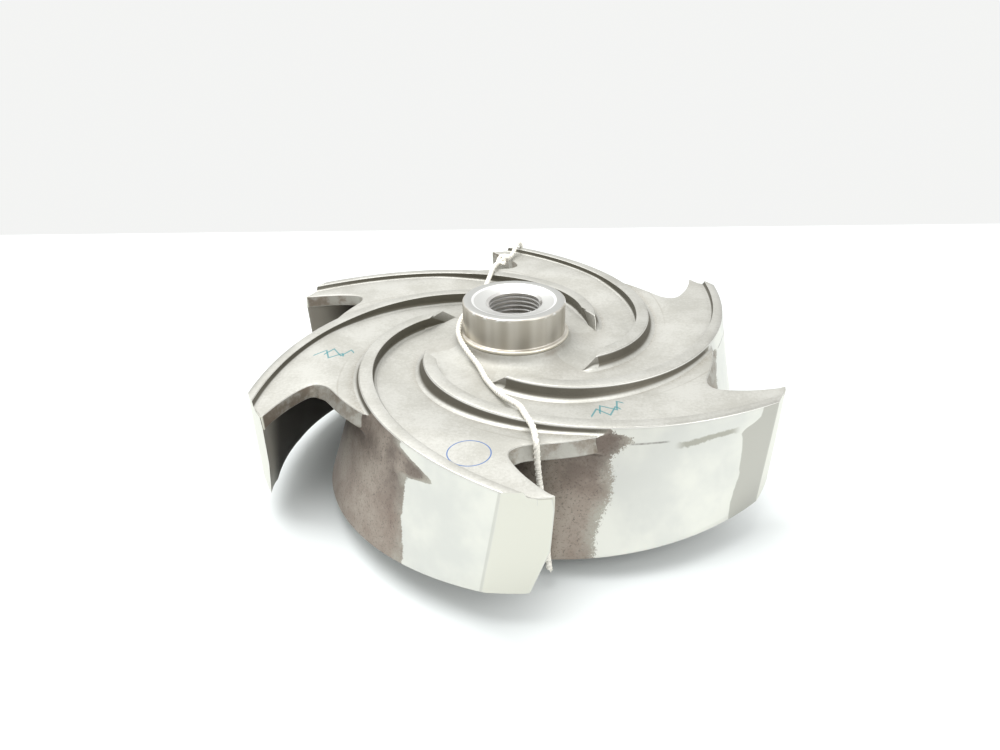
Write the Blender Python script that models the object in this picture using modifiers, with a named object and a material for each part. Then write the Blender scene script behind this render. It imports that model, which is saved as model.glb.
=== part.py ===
"""Semi-open centrifugal pump impeller, standing on its vane edges with the threaded hub up.

The real one is a single stainless casting. It is modelled by its features, each a closed solid
0.3 mm from its neighbours: hub, back plate disc, six plate arms, six pump-out ribs and six vanes.
A length of cotton twine lies over it. The axis is Z, the origin is on the axis at floor level,
lengths are in metres and plan angles run counter-clockwise from +X.
"""
import math

import bmesh
import bpy
from mathutils import Vector

# Overall sizes
OUTER_RADIUS = 0.1825
VANE_COUNT = 6
PITCH = 2 * math.pi / VANE_COUNT
GAP = 0.0003

# Heights above the floor
HUB_TOP_Z = 0.1148
RIB_TOP_Z = 0.0904
RIM_TOP_Z = 0.0867
RIM_UNDER_Z = 0.0776
DISH_TOP_Z = 0.0819
DISH_UNDER_Z = 0.0690
TIP_EDGE_Z = 0.0237

# Back plate, a shallow dish inside a flat rim
DISH_FLAT_RADIUS = 0.0910
DISH_EDGE_RADIUS = 0.1310
DISC_RADIUS = 0.1362

# Hub and its bore, which ends blind above the nose
HUB_RADIUS = 0.0356
HUB_LIP_RADIUS = 0.0384
HUB_LIP_TOP_Z = 0.0931
HUB_LIP_UNDER_Z = 0.0900
HUB_CORE_RADIUS = 0.0350
BOSS_RADIUS = 0.0550
BOSS_TOP_Z = 0.0885
NOSE_RADIUS = 0.0170
NOSE_Z = 0.0300
MOUTH_RADIUS = 0.0285
BORE_RADIUS = 0.0192
MOUTH_DEPTH = 0.0024
BORE_END_Z = 0.0460

# Blade surface, from the top edge of the ribs down to the free edge of the vanes
TIP_ANGLE_TOP = math.radians(267.9)
TIP_ANGLE_FOOT = math.radians(264.4)
RIB_WRAP = math.radians(129.5)
VANE_WRAP = math.radians(126.0)
FREE_EDGE_SLOPE = 0.30
RIB_WIDTH_TIP = 0.0056
RIB_WIDTH_ROOT = 0.0085
RIB_WIDENING_SHARE = 0.40
RIB_DRAFT = 0.0010
RIB_RAMP_SHARE = 0.055
RIB_RAMP_DROP = 0.85
VANE_THICKNESS = 0.0118
VANE_FOOT_TIP_THICKNESS = 0.0088
VANE_FOOT_THINNING_SHARE = 0.25
VANE_NOSE_THICKNESS = 0.0060
VANE_NOSE_SHARE = 0.12
CORNER_BREAK_HEIGHT = 0.0230
CORNER_BREAK_ANGLE = math.radians(2.3)
CORNER_BREAK_LENGTH = 0.10
CORNER_BREAK_LEAST = 0.02

# Scallop cut out of the plate behind each vane
ARM_EDGE_WIDTH = math.radians(8.4)
SCALLOP_THROAT_RADIUS = 0.1500
SCALLOP_THROAT_ANGLE = math.radians(268.8)
SCALLOP_TOE_ANGLE = math.radians(273.6)
SCALLOP_SWEEP_BEND = 1.35

# Twine
TWINE_DIAMETER = 0.0032
TWINE_POINT_SPACING = 2.6 * TWINE_DIAMETER
KNOT_RADIUS = 0.0040
KNOT_FLATNESS = 0.8

# Facets
HUB_STEPS = 72
DISC_STEPS = 96
RIB_STATIONS = 22
VANE_STATIONS = 26
ARM_STATIONS = 10
ARM_ARC_STEPS = 8
SCALLOP_SWEEP_STEPS = 7
CURVE_SUBSTEPS = 24


def clear_scene():
    for old in list(bpy.context.scene.objects):
        bpy.data.objects.remove(old, do_unlink=True)


def make_material(name, color, metallic, roughness):
    material = bpy.data.materials.new(name)
    material.use_nodes = True
    shader = material.node_tree.nodes["Principled BSDF"]
    shader.inputs["Base Color"].default_value = (*color, 1.0)
    shader.inputs["Metallic"].default_value = metallic
    shader.inputs["Roughness"].default_value = roughness
    return material


def add_object(name, mesh, material, collection):
    body = bpy.data.objects.new(name, mesh)
    body.data.materials.append(material)
    collection.objects.link(body)
    return body


def polar(radius, angle, z):
    return Vector((radius * math.cos(angle), radius * math.sin(angle), z))


def plate_top_z(radius):
    """Height of the plate's upper face: flat dish, shallow cone, flat rim."""
    share = (radius - DISH_FLAT_RADIUS) / (DISH_EDGE_RADIUS - DISH_FLAT_RADIUS)
    return DISH_TOP_Z + (RIM_TOP_Z - DISH_TOP_Z) * min(max(share, 0.0), 1.0)


def plate_under_z(radius):
    """Height of the plate's lower face, which thickens towards the hub."""
    share = (radius - DISH_FLAT_RADIUS) / (DISH_EDGE_RADIUS - DISH_FLAT_RADIUS)
    return DISH_UNDER_Z + (RIM_UNDER_Z - DISH_UNDER_Z) * min(max(share, 0.0), 1.0)


def free_edge_z(radius):
    """Height of the vanes' free edge: a cone that rises to the tips from a flat inner ring."""
    return max(0.0, TIP_EDGE_Z - FREE_EDGE_SLOPE * (OUTER_RADIUS - radius))


def top_radius(wrap):
    """Radius of the blade surface's top edge at an angle behind the tip."""
    return OUTER_RADIUS * math.exp(-(0.5535 * wrap - 0.1343 * wrap ** 2 + 0.0458 * wrap ** 3))


def foot_radius(wrap):
    """Radius of the blade surface's free edge at an angle behind the tip."""
    steepening = max(0.0, wrap - 0.9) ** 2
    return OUTER_RADIUS * math.exp(-(0.265 * wrap + 0.055 * steepening))


def width_angle(width, radius_at, wrap):
    """Angle that gives a blade its thickness across the spiral at that wrap."""
    step = 0.01
    radius = radius_at(wrap)
    growth = (radius_at(max(wrap - step, 0.0)) - radius_at(wrap + step)) / (step + min(wrap, step))
    return width / (radius * math.sin(math.atan2(growth, radius)))


def blade_line(share, wrap):
    """Top and foot of the ruled line on the blade's convex face, with the angle of each."""
    turn = share * wrap
    top_angle = TIP_ANGLE_TOP - turn
    foot_angle = TIP_ANGLE_FOOT - turn
    foot_r = foot_radius(turn)
    return (top_radius(turn), top_angle, RIB_TOP_Z), (foot_r, foot_angle, free_edge_z(foot_r))


def on_line(line, level):
    """Point of a ruled line at the height that level gives for its radius, as polar values."""
    (r0, a0, z0), (r1, a1, z1) = line
    drop = 0.0
    for _ in range(12):
        radius = r0 + (r1 - r0) * drop
        drop = (z0 - level(radius)) / (z0 - z1)
    return r0 + (r1 - r0) * drop, a0 + (a1 - a0) * drop, z0 + (z1 - z0) * drop


def loft(name, sections, material, collection):
    """Closed body through sections of equal point count, capped at both ends."""
    mesh = bmesh.new()
    rings = [[mesh.verts.new(point) for point in section] for section in sections]
    for ring, following in zip(rings, rings[1:]):
        for i in range(len(ring)):
            j = (i + 1) % len(ring)
            mesh.faces.new((ring[i], ring[j], following[j], following[i]))
    mesh.faces.new(rings[0])
    mesh.faces.new(list(reversed(rings[-1])))
    bmesh.ops.triangulate(mesh, faces=mesh.faces)
    bmesh.ops.recalc_face_normals(mesh, faces=mesh.faces)
    data = bpy.data.meshes.new(name)
    mesh.to_mesh(data)
    mesh.free()
    return add_object(name, data, material, collection)


def turned(name, profile, steps, material, collection):
    """Body of revolution about Z from a closed profile of (radius, height) points."""
    mesh = bmesh.new()
    points = [mesh.verts.new((radius, 0.0, z)) for radius, z in profile]
    on_axis = profile[0][0] == 0.0
    for start, end in zip(points, points[1:]):
        mesh.edges.new((start, end))
    if not on_axis:
        mesh.edges.new((points[-1], points[0]))
    data = bpy.data.meshes.new(name)
    mesh.to_mesh(data)
    mesh.free()
    body = add_object(name, data, material, collection)
    screw = body.modifiers.new("turn", "SCREW")
    screw.steps = steps
    screw.render_steps = steps
    screw.use_merge_vertices = True
    screw.merge_threshold = 0.00001
    return body


def build_hub(material, collection):
    profile = [
        (0.0, BORE_END_Z),
        (BORE_RADIUS, BORE_END_Z + 0.004),
        (BORE_RADIUS, HUB_TOP_Z - MOUTH_DEPTH),
        (MOUTH_RADIUS, HUB_TOP_Z),
        (HUB_RADIUS - 0.0008, HUB_TOP_Z),
        (HUB_RADIUS, HUB_TOP_Z - 0.0008),
        (HUB_RADIUS, HUB_LIP_TOP_Z),
        (HUB_LIP_RADIUS, HUB_LIP_TOP_Z - 0.0012),
        (HUB_LIP_RADIUS, HUB_LIP_UNDER_Z),
        (HUB_CORE_RADIUS, HUB_LIP_UNDER_Z),
        (HUB_CORE_RADIUS, DISH_UNDER_Z - 0.004),
        (HUB_CORE_RADIUS - 0.003, NOSE_Z + 0.020),
        (HUB_CORE_RADIUS - 0.009, NOSE_Z + 0.007),
        (NOSE_RADIUS, NOSE_Z),
        (0.0, NOSE_Z),
    ]
    return turned("hub", profile, HUB_STEPS, material, collection)


def build_disc(material, collection):
    bore = HUB_CORE_RADIUS + GAP
    boss_top = HUB_LIP_UNDER_Z - GAP
    profile = [
        (bore, boss_top),
        (HUB_LIP_RADIUS, boss_top),
        (HUB_LIP_RADIUS + 0.0012, BOSS_TOP_Z - 0.0020),
        (0.5 * (HUB_LIP_RADIUS + BOSS_RADIUS) - 0.003, DISH_TOP_Z + 0.0012),
        (BOSS_RADIUS, DISH_TOP_Z),
        (DISH_FLAT_RADIUS, DISH_TOP_Z),
        (DISH_EDGE_RADIUS, RIM_TOP_Z),
        (DISC_RADIUS, RIM_TOP_Z),
        (DISC_RADIUS, RIM_UNDER_Z),
        (DISH_EDGE_RADIUS, RIM_UNDER_Z),
        (DISH_FLAT_RADIUS, DISH_UNDER_Z),
        (bore, DISH_UNDER_Z),
    ]
    return turned("back_plate_disc", profile, DISC_STEPS, material, collection)


def rib_floor_z(radius):
    return plate_top_z(radius) + GAP


def vane_roof_z(radius):
    return plate_under_z(radius) - GAP


def rib_section(share):
    """Four corners of a pump-out rib across its length, standing on the plate."""
    line = blade_line(share, RIB_WRAP)
    widening = min(1.0, share / RIB_WIDENING_SHARE)
    width = RIB_WIDTH_TIP + (RIB_WIDTH_ROOT - RIB_WIDTH_TIP) * widening
    turn = share * RIB_WRAP
    span = width_angle(width, top_radius, turn)
    root_span = width_angle(width + RIB_DRAFT, top_radius, turn)
    radius, angle, top = line[0]
    foot_r, foot_a, foot_z = on_line(line, rib_floor_z)
    ramp = max(0.0, 1.0 - (1.0 - share) / RIB_RAMP_SHARE)
    top -= RIB_RAMP_DROP * (top - foot_z) * ramp
    return [
        polar(radius, angle, top),
        polar(radius, angle + span, top),
        polar(foot_r, angle + root_span, foot_z),
        polar(foot_r, foot_a, foot_z),
    ]


def build_rib(index, material, collection):
    sections = [rib_section(i / (RIB_STATIONS - 1)) for i in range(RIB_STATIONS)]
    rib = loft(f"pump_out_rib_{index + 1}", sections, material, collection)
    turn_about_axis(rib, index)
    return rib


def vane_section(share):
    """Seven corners of a vane across its length, hung from the plate's underside."""
    line = blade_line(share, VANE_WRAP)
    turn = share * VANE_WRAP
    slim = max(0.0, 1.0 - (1.0 - share) / VANE_NOSE_SHARE)
    width = VANE_THICKNESS + (VANE_NOSE_THICKNESS - VANE_THICKNESS) * slim
    thinning = max(0.0, 1.0 - share / VANE_FOOT_THINNING_SHARE)
    foot_width = width - (VANE_THICKNESS - VANE_FOOT_TIP_THICKNESS) * thinning
    head_r, head_a, head_z = on_line(line, vane_roof_z)
    foot_r, foot_a, foot_z = line[1]
    head_span = width_angle(width, top_radius, turn)
    foot_span = width_angle(foot_width, foot_radius, turn)
    fade = max(0.0, 1.0 - share / CORNER_BREAK_LENGTH)
    rise = max(CORNER_BREAK_LEAST, fade) * CORNER_BREAK_HEIGHT
    lift = rise / (head_z - foot_z)
    break_r = foot_r + (head_r - foot_r) * lift
    break_a = foot_a + foot_span + (head_a + head_span - foot_a - foot_span) * lift
    return [
        polar(head_r, head_a, head_z),
        polar(head_r, head_a + 0.5 * head_span, head_z),
        polar(head_r, head_a + head_span, head_z),
        polar(break_r, break_a, foot_z + rise),
        polar(foot_r, foot_a + foot_span - fade * CORNER_BREAK_ANGLE, foot_z),
        polar(foot_r, foot_a + 0.5 * foot_span, foot_z),
        polar(foot_r, foot_a, foot_z),
    ]


def build_vane(index, material, collection):
    sections = [vane_section(i / (VANE_STATIONS - 1)) for i in range(VANE_STATIONS)]
    vane = loft(f"vane_{index + 1}", sections, material, collection)
    turn_about_axis(vane, index)
    return vane


def face_at(share, level):
    """Radius and angle of the blade's convex face at a fixed height."""
    return on_line(blade_line(share, RIB_WRAP), lambda radius: level)[:2]


def share_at_radius(radius, level):
    """Share of the rib's length at which the blade's convex face meets a radius at a height."""
    low, high = 0.0, 1.0
    for _ in range(40):
        middle = 0.5 * (low + high)
        if face_at(middle, level)[0] > radius:
            low = middle
        else:
            high = middle
    return low


def arm_outline(level):
    """Plan outline of one plate arm at a height, as points in order round it."""
    inner = DISC_RADIUS + GAP
    reach = share_at_radius(inner, level)
    edge = [face_at(reach * i / ARM_STATIONS, level) for i in range(ARM_STATIONS + 1)]
    tip_angle = edge[0][1]
    root_angle = edge[-1][1]
    outline = list(edge)
    for i in range(1, ARM_ARC_STEPS + 1):
        outline.append((inner, root_angle + (SCALLOP_TOE_ANGLE - root_angle) * i / ARM_ARC_STEPS))
    outline.extend(scallop_edge(inner, SCALLOP_TOE_ANGLE, tip_angle + ARM_EDGE_WIDTH))
    outline.append((OUTER_RADIUS, tip_angle + 0.5 * ARM_EDGE_WIDTH))
    return [polar(radius, angle, level) for radius, angle in outline]


def scallop_edge(inner, toe_angle, tip_end):
    """Arm's trailing edge: a round corner off the disc's rim, then a sweep to the tip."""
    corner = [
        (inner + 0.0012, toe_angle - math.radians(0.6)),
        (inner + 0.0027, toe_angle - math.radians(2.2)),
        (inner + 0.0061, toe_angle - math.radians(3.8)),
        (inner + 0.0100, toe_angle - math.radians(4.6)),
    ]
    sweep = []
    for i in range(SCALLOP_SWEEP_STEPS + 1):
        share = i / SCALLOP_SWEEP_STEPS
        radius = SCALLOP_THROAT_RADIUS + (OUTER_RADIUS - SCALLOP_THROAT_RADIUS) * share
        bend = share ** SCALLOP_SWEEP_BEND
        sweep.append((radius, SCALLOP_THROAT_ANGLE + (tip_end - SCALLOP_THROAT_ANGLE) * bend))
    return corner + sweep


def build_arm(index, material, collection):
    arm = loft(f"back_plate_arm_{index + 1}", [arm_outline(RIM_TOP_Z), arm_outline(RIM_UNDER_Z)],
               material, collection)
    turn_about_axis(arm, index)
    return arm


def turn_about_axis(body, index):
    body.rotation_euler = (0.0, 0.0, index * PITCH)


def smooth_path(route, spacing):
    """Points at an even spacing along a smooth curve through the route's points."""
    points = [Vector(p) for p in route]
    padded = [2 * points[0] - points[1]] + points + [2 * points[-1] - points[-2]]
    fine = []
    for a, b, c, d in zip(padded, padded[1:], padded[2:], padded[3:]):
        for i in range(CURVE_SUBSTEPS):
            t = i / CURVE_SUBSTEPS
            fine.append(0.5 * (2 * b + (c - a) * t + (2 * a - 5 * b + 4 * c - d) * t * t
                               + (3 * b - a - 3 * c + d) * t ** 3))
    fine.append(points[-1])
    even = [fine[0]]
    walked = 0.0
    for start, end in zip(fine, fine[1:]):
        walked += (end - start).length
        if walked >= spacing:
            even.append(end)
            walked = 0.0
    if (even[-1] - points[-1]).length < 0.5 * spacing:
        even.pop()
    even.append(points[-1])
    return even


def tube(name, route, material, collection):
    """Round tube with closed ends along a route."""
    path = smooth_path(route, TWINE_POINT_SPACING)
    curve = bpy.data.curves.new(name, "CURVE")
    curve.dimensions = "3D"
    curve.bevel_depth = TWINE_DIAMETER / 2
    curve.bevel_resolution = 2
    curve.use_fill_caps = True
    spline = curve.splines.new("POLY")
    spline.points.add(len(path) - 1)
    for slot, point in zip(spline.points, path):
        slot.co = (*point, 1.0)
    body = bpy.data.objects.new(name, curve)
    body.data.materials.append(material)
    collection.objects.link(body)
    return body


# Twine route: (radius, plan angle in degrees, height), in metres
TWINE_FRONT = [
    (0.1536, 277.4, 0.0130),
    (0.1500, 277.0, 0.0250),
    (0.1462, 276.5, 0.0400),
    (0.1430, 276.0, 0.0560),
    (0.1405, 275.4, 0.0700),
    (0.1392, 275.1, 0.0790),
    (0.1387, 275.0, 0.0845),
    (0.1380, 274.9, 0.0882),
    (0.1358, 274.8, 0.0903),
    (0.1300, 274.6, 0.0928),
    (0.1240, 274.0, 0.0936),
    (0.1150, 272.9, 0.0936),
    (0.1065, 271.9, 0.0928),
    (0.1000, 270.6, 0.0910),
    (0.0930, 269.0, 0.0886),
    (0.0855, 266.6, 0.0862),
    (0.0765, 262.4, 0.0848),
    (0.0622, 253.6, 0.0846),
    (0.0492, 241.5, 0.0862),
    (0.0428, 222.0, 0.0900),
    (0.0405, 202.0, 0.0935),
    (0.0386, 185.0, 0.0958),
    (0.0378, 165.0, 0.0972),
    (0.0400, 142.0, 0.0972),
    (0.0530, 120.0, 0.0950),
    (0.0800, 106.5, 0.0935),
    (0.1060, 100.6, 0.0931),
    (0.1200, 98.6, 0.0931),
    (0.1330, 96.8, 0.0915),
    (0.1440, 95.6, 0.0890),
]
TWINE_TAIL = [
    (0.1530, 92.2, 0.0890),
    (0.1615, 90.6, 0.0905),
    (0.1720, 89.4, 0.0940),
    (0.1800, 88.6, 0.0955),
    (0.1850, 88.0, 0.0925),
    (0.1860, 87.8, 0.0850),
    (0.1858, 87.6, 0.0700),
    (0.1860, 87.3, 0.0550),
]


def as_points(route):
    return [polar(radius, math.radians(angle), z) for radius, angle, z in route]


def build_twine(material, collection):
    front = tube("twine", as_points(TWINE_FRONT), material, collection)
    tail = tube("twine_tail", as_points(TWINE_TAIL), material, collection)
    start = as_points(TWINE_FRONT)[-1]
    end = as_points(TWINE_TAIL)[0]
    middle = 0.5 * (start + end)
    ball = bmesh.new()
    bmesh.ops.create_uvsphere(ball, u_segments=16, v_segments=10, radius=1.0)
    half = 0.5 * (end - start).length - 2 * GAP
    bmesh.ops.scale(ball, vec=(half, KNOT_RADIUS, KNOT_RADIUS * KNOT_FLATNESS), verts=ball.verts)
    data = bpy.data.meshes.new("twine_knot")
    ball.to_mesh(data)
    ball.free()
    knot = add_object("twine_knot", data, material, collection)
    knot.location = middle
    knot.rotation_euler = (end - start).to_track_quat("X", "Z").to_euler()
    return front, knot, tail


def main():
    clear_scene()
    collection = bpy.data.collections.new("pump_impeller")
    bpy.context.scene.collection.children.link(collection)
    cast = make_material("cast_stainless", (0.56, 0.55, 0.52), 0.85, 0.48)
    machined = make_material("machined_stainless", (0.66, 0.65, 0.62), 0.95, 0.28)
    cotton = make_material("cotton_twine", (0.86, 0.84, 0.78), 0.0, 0.90)
    build_hub(machined, collection)
    build_disc(cast, collection)
    for index in range(VANE_COUNT):
        build_arm(index, cast, collection)
        build_rib(index, cast, collection)
        build_vane(index, cast, collection)
    build_twine(cotton, collection)


main()
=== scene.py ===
"""Finished look of a cast stainless pump impeller that stands on its vanes, hub up.

The casting is dressed as the real one is: swept blades, each a rib above the plate and a
vane below it, filleted into a scalloped back plate, a turned hub with its thread, and a
length of twine tied round the hub. Lengths are in metres, the axis is Z and plan angles run
counter-clockwise from +X. A wrap is an angle behind a blade's tip, in radians.
"""
import math
import random

import bmesh
import bpy
from mathutils import Matrix, Vector


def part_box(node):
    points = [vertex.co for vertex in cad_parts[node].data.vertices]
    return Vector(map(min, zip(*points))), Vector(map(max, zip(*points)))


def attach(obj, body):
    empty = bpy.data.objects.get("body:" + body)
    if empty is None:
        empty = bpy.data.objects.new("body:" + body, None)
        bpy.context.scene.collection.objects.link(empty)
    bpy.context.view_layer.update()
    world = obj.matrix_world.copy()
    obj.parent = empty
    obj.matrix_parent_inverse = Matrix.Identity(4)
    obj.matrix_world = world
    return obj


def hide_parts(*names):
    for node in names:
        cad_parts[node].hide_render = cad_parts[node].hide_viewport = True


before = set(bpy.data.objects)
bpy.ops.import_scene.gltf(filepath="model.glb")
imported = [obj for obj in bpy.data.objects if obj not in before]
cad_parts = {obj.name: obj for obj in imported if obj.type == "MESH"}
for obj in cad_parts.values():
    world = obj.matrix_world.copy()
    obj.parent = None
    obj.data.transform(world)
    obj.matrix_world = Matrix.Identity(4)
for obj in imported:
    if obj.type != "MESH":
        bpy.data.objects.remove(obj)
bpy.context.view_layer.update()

# Sizes read off the fixed frame
HUB_TOP_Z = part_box("hub")[1].z
NOSE_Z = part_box("hub")[0].z
RIB_TOP_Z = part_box("pump_out_rib_1")[1].z
RIM_TOP_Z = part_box("back_plate_arm_1")[1].z
RIM_UNDER_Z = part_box("back_plate_arm_1")[0].z
DISH_UNDER_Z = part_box("back_plate_disc")[0].z
DISC_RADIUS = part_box("back_plate_disc")[1].x
OUTER_RADIUS = max(v.co.xy.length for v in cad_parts["vane_1"].data.vertices)

# Sizes shared with the construction
VANE_COUNT = 6
PITCH = 2 * math.pi / VANE_COUNT
DISH_TOP_Z = 0.0819
DISH_FLAT_RADIUS = 0.0910
DISH_EDGE_RADIUS = 0.1310
# Half of each bend's width as a share of the dish's slope
DISH_BEND = 0.06
TIP_EDGE_Z = 0.0237
FREE_EDGE_SLOPE = 0.30
TIP_ANGLE_TOP = math.radians(267.9)
TIP_ANGLE_FOOT = math.radians(264.4)
# Fall of the radius's logarithm along a blade's top edge, by powers of the wrap
TOP_SWIRL = (0.5535, 0.1343, 0.0458)
FOOT_SWIRL = 0.265
FOOT_STEEPENING = 0.055
FOOT_STEEPENING_WRAP = 0.9
INNERMOST_WRAP = 2.3
RIB_WRAP = math.radians(133.0)
RIB_RAMP_WRAP = math.radians(10.5)
RIB_WIDTH_TIP = 0.0056
RIB_WIDTH_ROOT = 0.0085
RIB_WIDTH_END = 0.0066
RIB_WIDENING_WRAP = math.radians(50.0)
# Growth of the rib's width per metre of its height
RIB_DRAFT = 0.07
VANE_WRAP = math.radians(123.5)
VANE_THICKNESS = 0.0118
VANE_FOOT_THINNING = 0.0030
VANE_FOOT_THINNING_WRAP = 0.55
VANE_NOSE_START = 0.80
VANE_NOSE_SHARE = 0.20
VANE_NOSE_THICKNESS = 0.0085
VANE_NOSE_REACH = 0.0055

# The land at a blade's tip narrows towards its lower corner
LAND_WIDTH_TOP = 0.0121
LAND_WIDTH_BREAK = 0.01005
LAND_WIDTH_FOOT = 0.0067
LAND_FADE_WRAP = 0.16
LAND_LENGTH = 0.012
CORNER_BREAK_HEIGHT = 0.0287
INNER_BREAK_HEIGHT = 0.0040

# Roundings of the casting
EDGE_BREAK = 0.0007
PLATE_EDGE_ROUND = 0.0009
RIB_FILLET = 0.0032
VANE_FILLET = 0.0050
SKIRT = 0.0008
SKIRT_DEPTH = 0.0006


def smooth(share):
    """Eases a value from 0 to 1."""
    share = min(max(share, 0.0), 1.0)
    return share * share * (3.0 - 2.0 * share)


def mix(first, second, share):
    return first + (second - first) * share


def polar(radius, angle, height):
    return Vector((radius * math.cos(angle), radius * math.sin(angle), height))


def dish_share(radius):
    """0 on the dish's floor and 1 on the rim, with the two bends rounded off."""
    share = (radius - DISH_FLAT_RADIUS) / (DISH_EDGE_RADIUS - DISH_FLAT_RADIUS)
    if share <= -DISH_BEND:
        return 0.0
    if share >= 1.0 + DISH_BEND:
        return 1.0
    if share < DISH_BEND:
        return (share + DISH_BEND) ** 2 / (4 * DISH_BEND)
    if share > 1.0 - DISH_BEND:
        return 1.0 - (1.0 + DISH_BEND - share) ** 2 / (4 * DISH_BEND)
    return share


def plate_top_z(radius):
    return mix(DISH_TOP_Z, RIM_TOP_Z, dish_share(radius))


def plate_under_z(radius):
    return mix(DISH_UNDER_Z, RIM_UNDER_Z, dish_share(radius))


def free_edge_z(radius):
    """The vanes' free edge lies on a cone that comes down to a flat ring near the eye."""
    return max(0.0, TIP_EDGE_Z - FREE_EDGE_SLOPE * (OUTER_RADIUS - radius))


def top_radius(wrap):
    """Radius of the blade's top edge at a wrap."""
    first, second, third = TOP_SWIRL
    return OUTER_RADIUS * math.exp(-(first * wrap - second * wrap ** 2 + third * wrap ** 3))


def foot_radius(wrap):
    """Radius of the blade's free edge at a wrap."""
    steepening = max(0.0, wrap - FOOT_STEEPENING_WRAP) ** 2
    return OUTER_RADIUS * math.exp(-(FOOT_SWIRL * wrap + FOOT_STEEPENING * steepening))


def last_before(high, steps, is_before):
    """Value between 0 and high at which a test stops holding, found by halving."""
    low = 0.0
    for _ in range(steps):
        middle = 0.5 * (low + high)
        if is_before(middle):
            low = middle
        else:
            high = middle
    return low


def wrap_of(radius):
    """Wrap at which the blade's top edge passes a radius."""
    return last_before(INNERMOST_WRAP, 26, lambda wrap: top_radius(wrap) > radius)


def angle_per_metre(radius_at, wrap):
    """Plan angle that one metre of blade thickness takes up."""
    step = 0.01
    radius = radius_at(wrap)
    growth = (radius_at(max(wrap - step, 0.0)) - radius_at(wrap + step)) / (step + min(wrap, step))
    return 1.0 / (radius * math.sin(math.atan2(growth, radius)))


def blade_line(wrap):
    """Ruled line of the convex face: radius, angle, height and angle per metre at both ends."""
    foot_r = foot_radius(wrap)
    top = (top_radius(wrap), TIP_ANGLE_TOP - wrap, RIB_TOP_Z, angle_per_metre(top_radius, wrap))
    foot = (foot_r, TIP_ANGLE_FOOT - wrap, free_edge_z(foot_r), angle_per_metre(foot_radius, wrap))
    return top, foot


def line_values(line, height):
    """Radius, angle and angle per metre on a ruled line at a height."""
    top, foot = line
    drop = (top[2] - height) / (top[2] - foot[2])
    return tuple(mix(top[k], foot[k], drop) for k in (0, 1, 3))


def blade_point(line, depth, height):
    """Point at a depth behind the convex face."""
    radius, angle, rate = line_values(line, height)
    return polar(radius, angle + depth * rate, height)


def height_on_line(line, level):
    """Height at which a ruled line meets a surface whose height depends on the radius."""
    height = RIM_TOP_Z
    for _ in range(10):
        height = level(line_values(line, height)[0])
    return height


def is_over_scallop(wrap):
    line = blade_line(wrap)
    return line_values(line, height_on_line(line, plate_top_z))[0] > DISC_RADIUS


# Where the convex face leaves the scallop for the plate
TOE_WRAP = last_before(RIB_WRAP, 30, is_over_scallop)


def arc(steps, start, end):
    """Cosine and sine at even steps round an arc, in degrees."""
    angles = [math.radians(mix(start, end, i / steps)) for i in range(steps + 1)]
    return [(math.cos(a), math.sin(a)) for a in angles]


def eased_curve(points, steps):
    """Smooth curve through a few points, with the same number of steps between each two."""
    padded = [points[0]] + list(points) + [points[-1]]
    fine = []
    for a, b, c, d in zip(padded, padded[1:], padded[2:], padded[3:]):
        for i in range(steps):
            t = i / steps
            fine.append(tuple(
                0.5 * (2 * q + (r - p) * t + (2 * p - 5 * q + 4 * r - s) * t * t
                       + (3 * q - p - 3 * r + s) * t ** 3)
                for p, q, r, s in zip(a, b, c, d)))
    fine.append(tuple(points[-1]))
    return fine


def linked_object(name, data):
    made = bpy.data.objects.new(name, data)
    bpy.context.scene.collection.objects.link(made)
    return made


def finished_object(name, mesh, sharp_angle=35.0):
    bmesh.ops.recalc_face_normals(mesh, faces=mesh.faces)
    data = bpy.data.meshes.new(name)
    mesh.to_mesh(data)
    mesh.free()
    data.shade_smooth()
    data.set_sharp_from_angle(angle=math.radians(sharp_angle))
    return linked_object(name, data)


def shaped_grid(name, rows, surface=None):
    """Sheet of quads bent through rows of points; surface holds its UVs in the same rows."""
    across, along = len(rows[0]) - 1, len(rows) - 1
    mesh = bmesh.new()
    bmesh.ops.create_grid(mesh, x_segments=across, y_segments=along, size=0.5)
    places = {}
    for vert in mesh.verts:
        column = round((vert.co.x + 0.5) * across)
        row = round((vert.co.y + 0.5) * along)
        places[vert] = (row, column)
    if surface:
        layer = mesh.loops.layers.uv.new("surface")
        for face in mesh.faces:
            for loop in face.loops:
                row, column = places[loop.vert]
                loop[layer].uv = surface[row][column]
    for vert, (row, column) in places.items():
        vert.co = rows[row][column]
    bmesh.ops.remove_doubles(mesh, verts=mesh.verts, dist=0.000002)
    bmesh.ops.dissolve_degenerate(mesh, dist=0.000001, edges=mesh.edges)
    return finished_object(name, mesh)


def seat(piece, material, slot_name, *nodes):
    """Gives a piece its finish, ties it to the frame and hides the nodes it stands for."""
    piece.data.materials.append(material)
    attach(piece, "root")
    if nodes:
        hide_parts(*nodes)
    return piece


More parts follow.
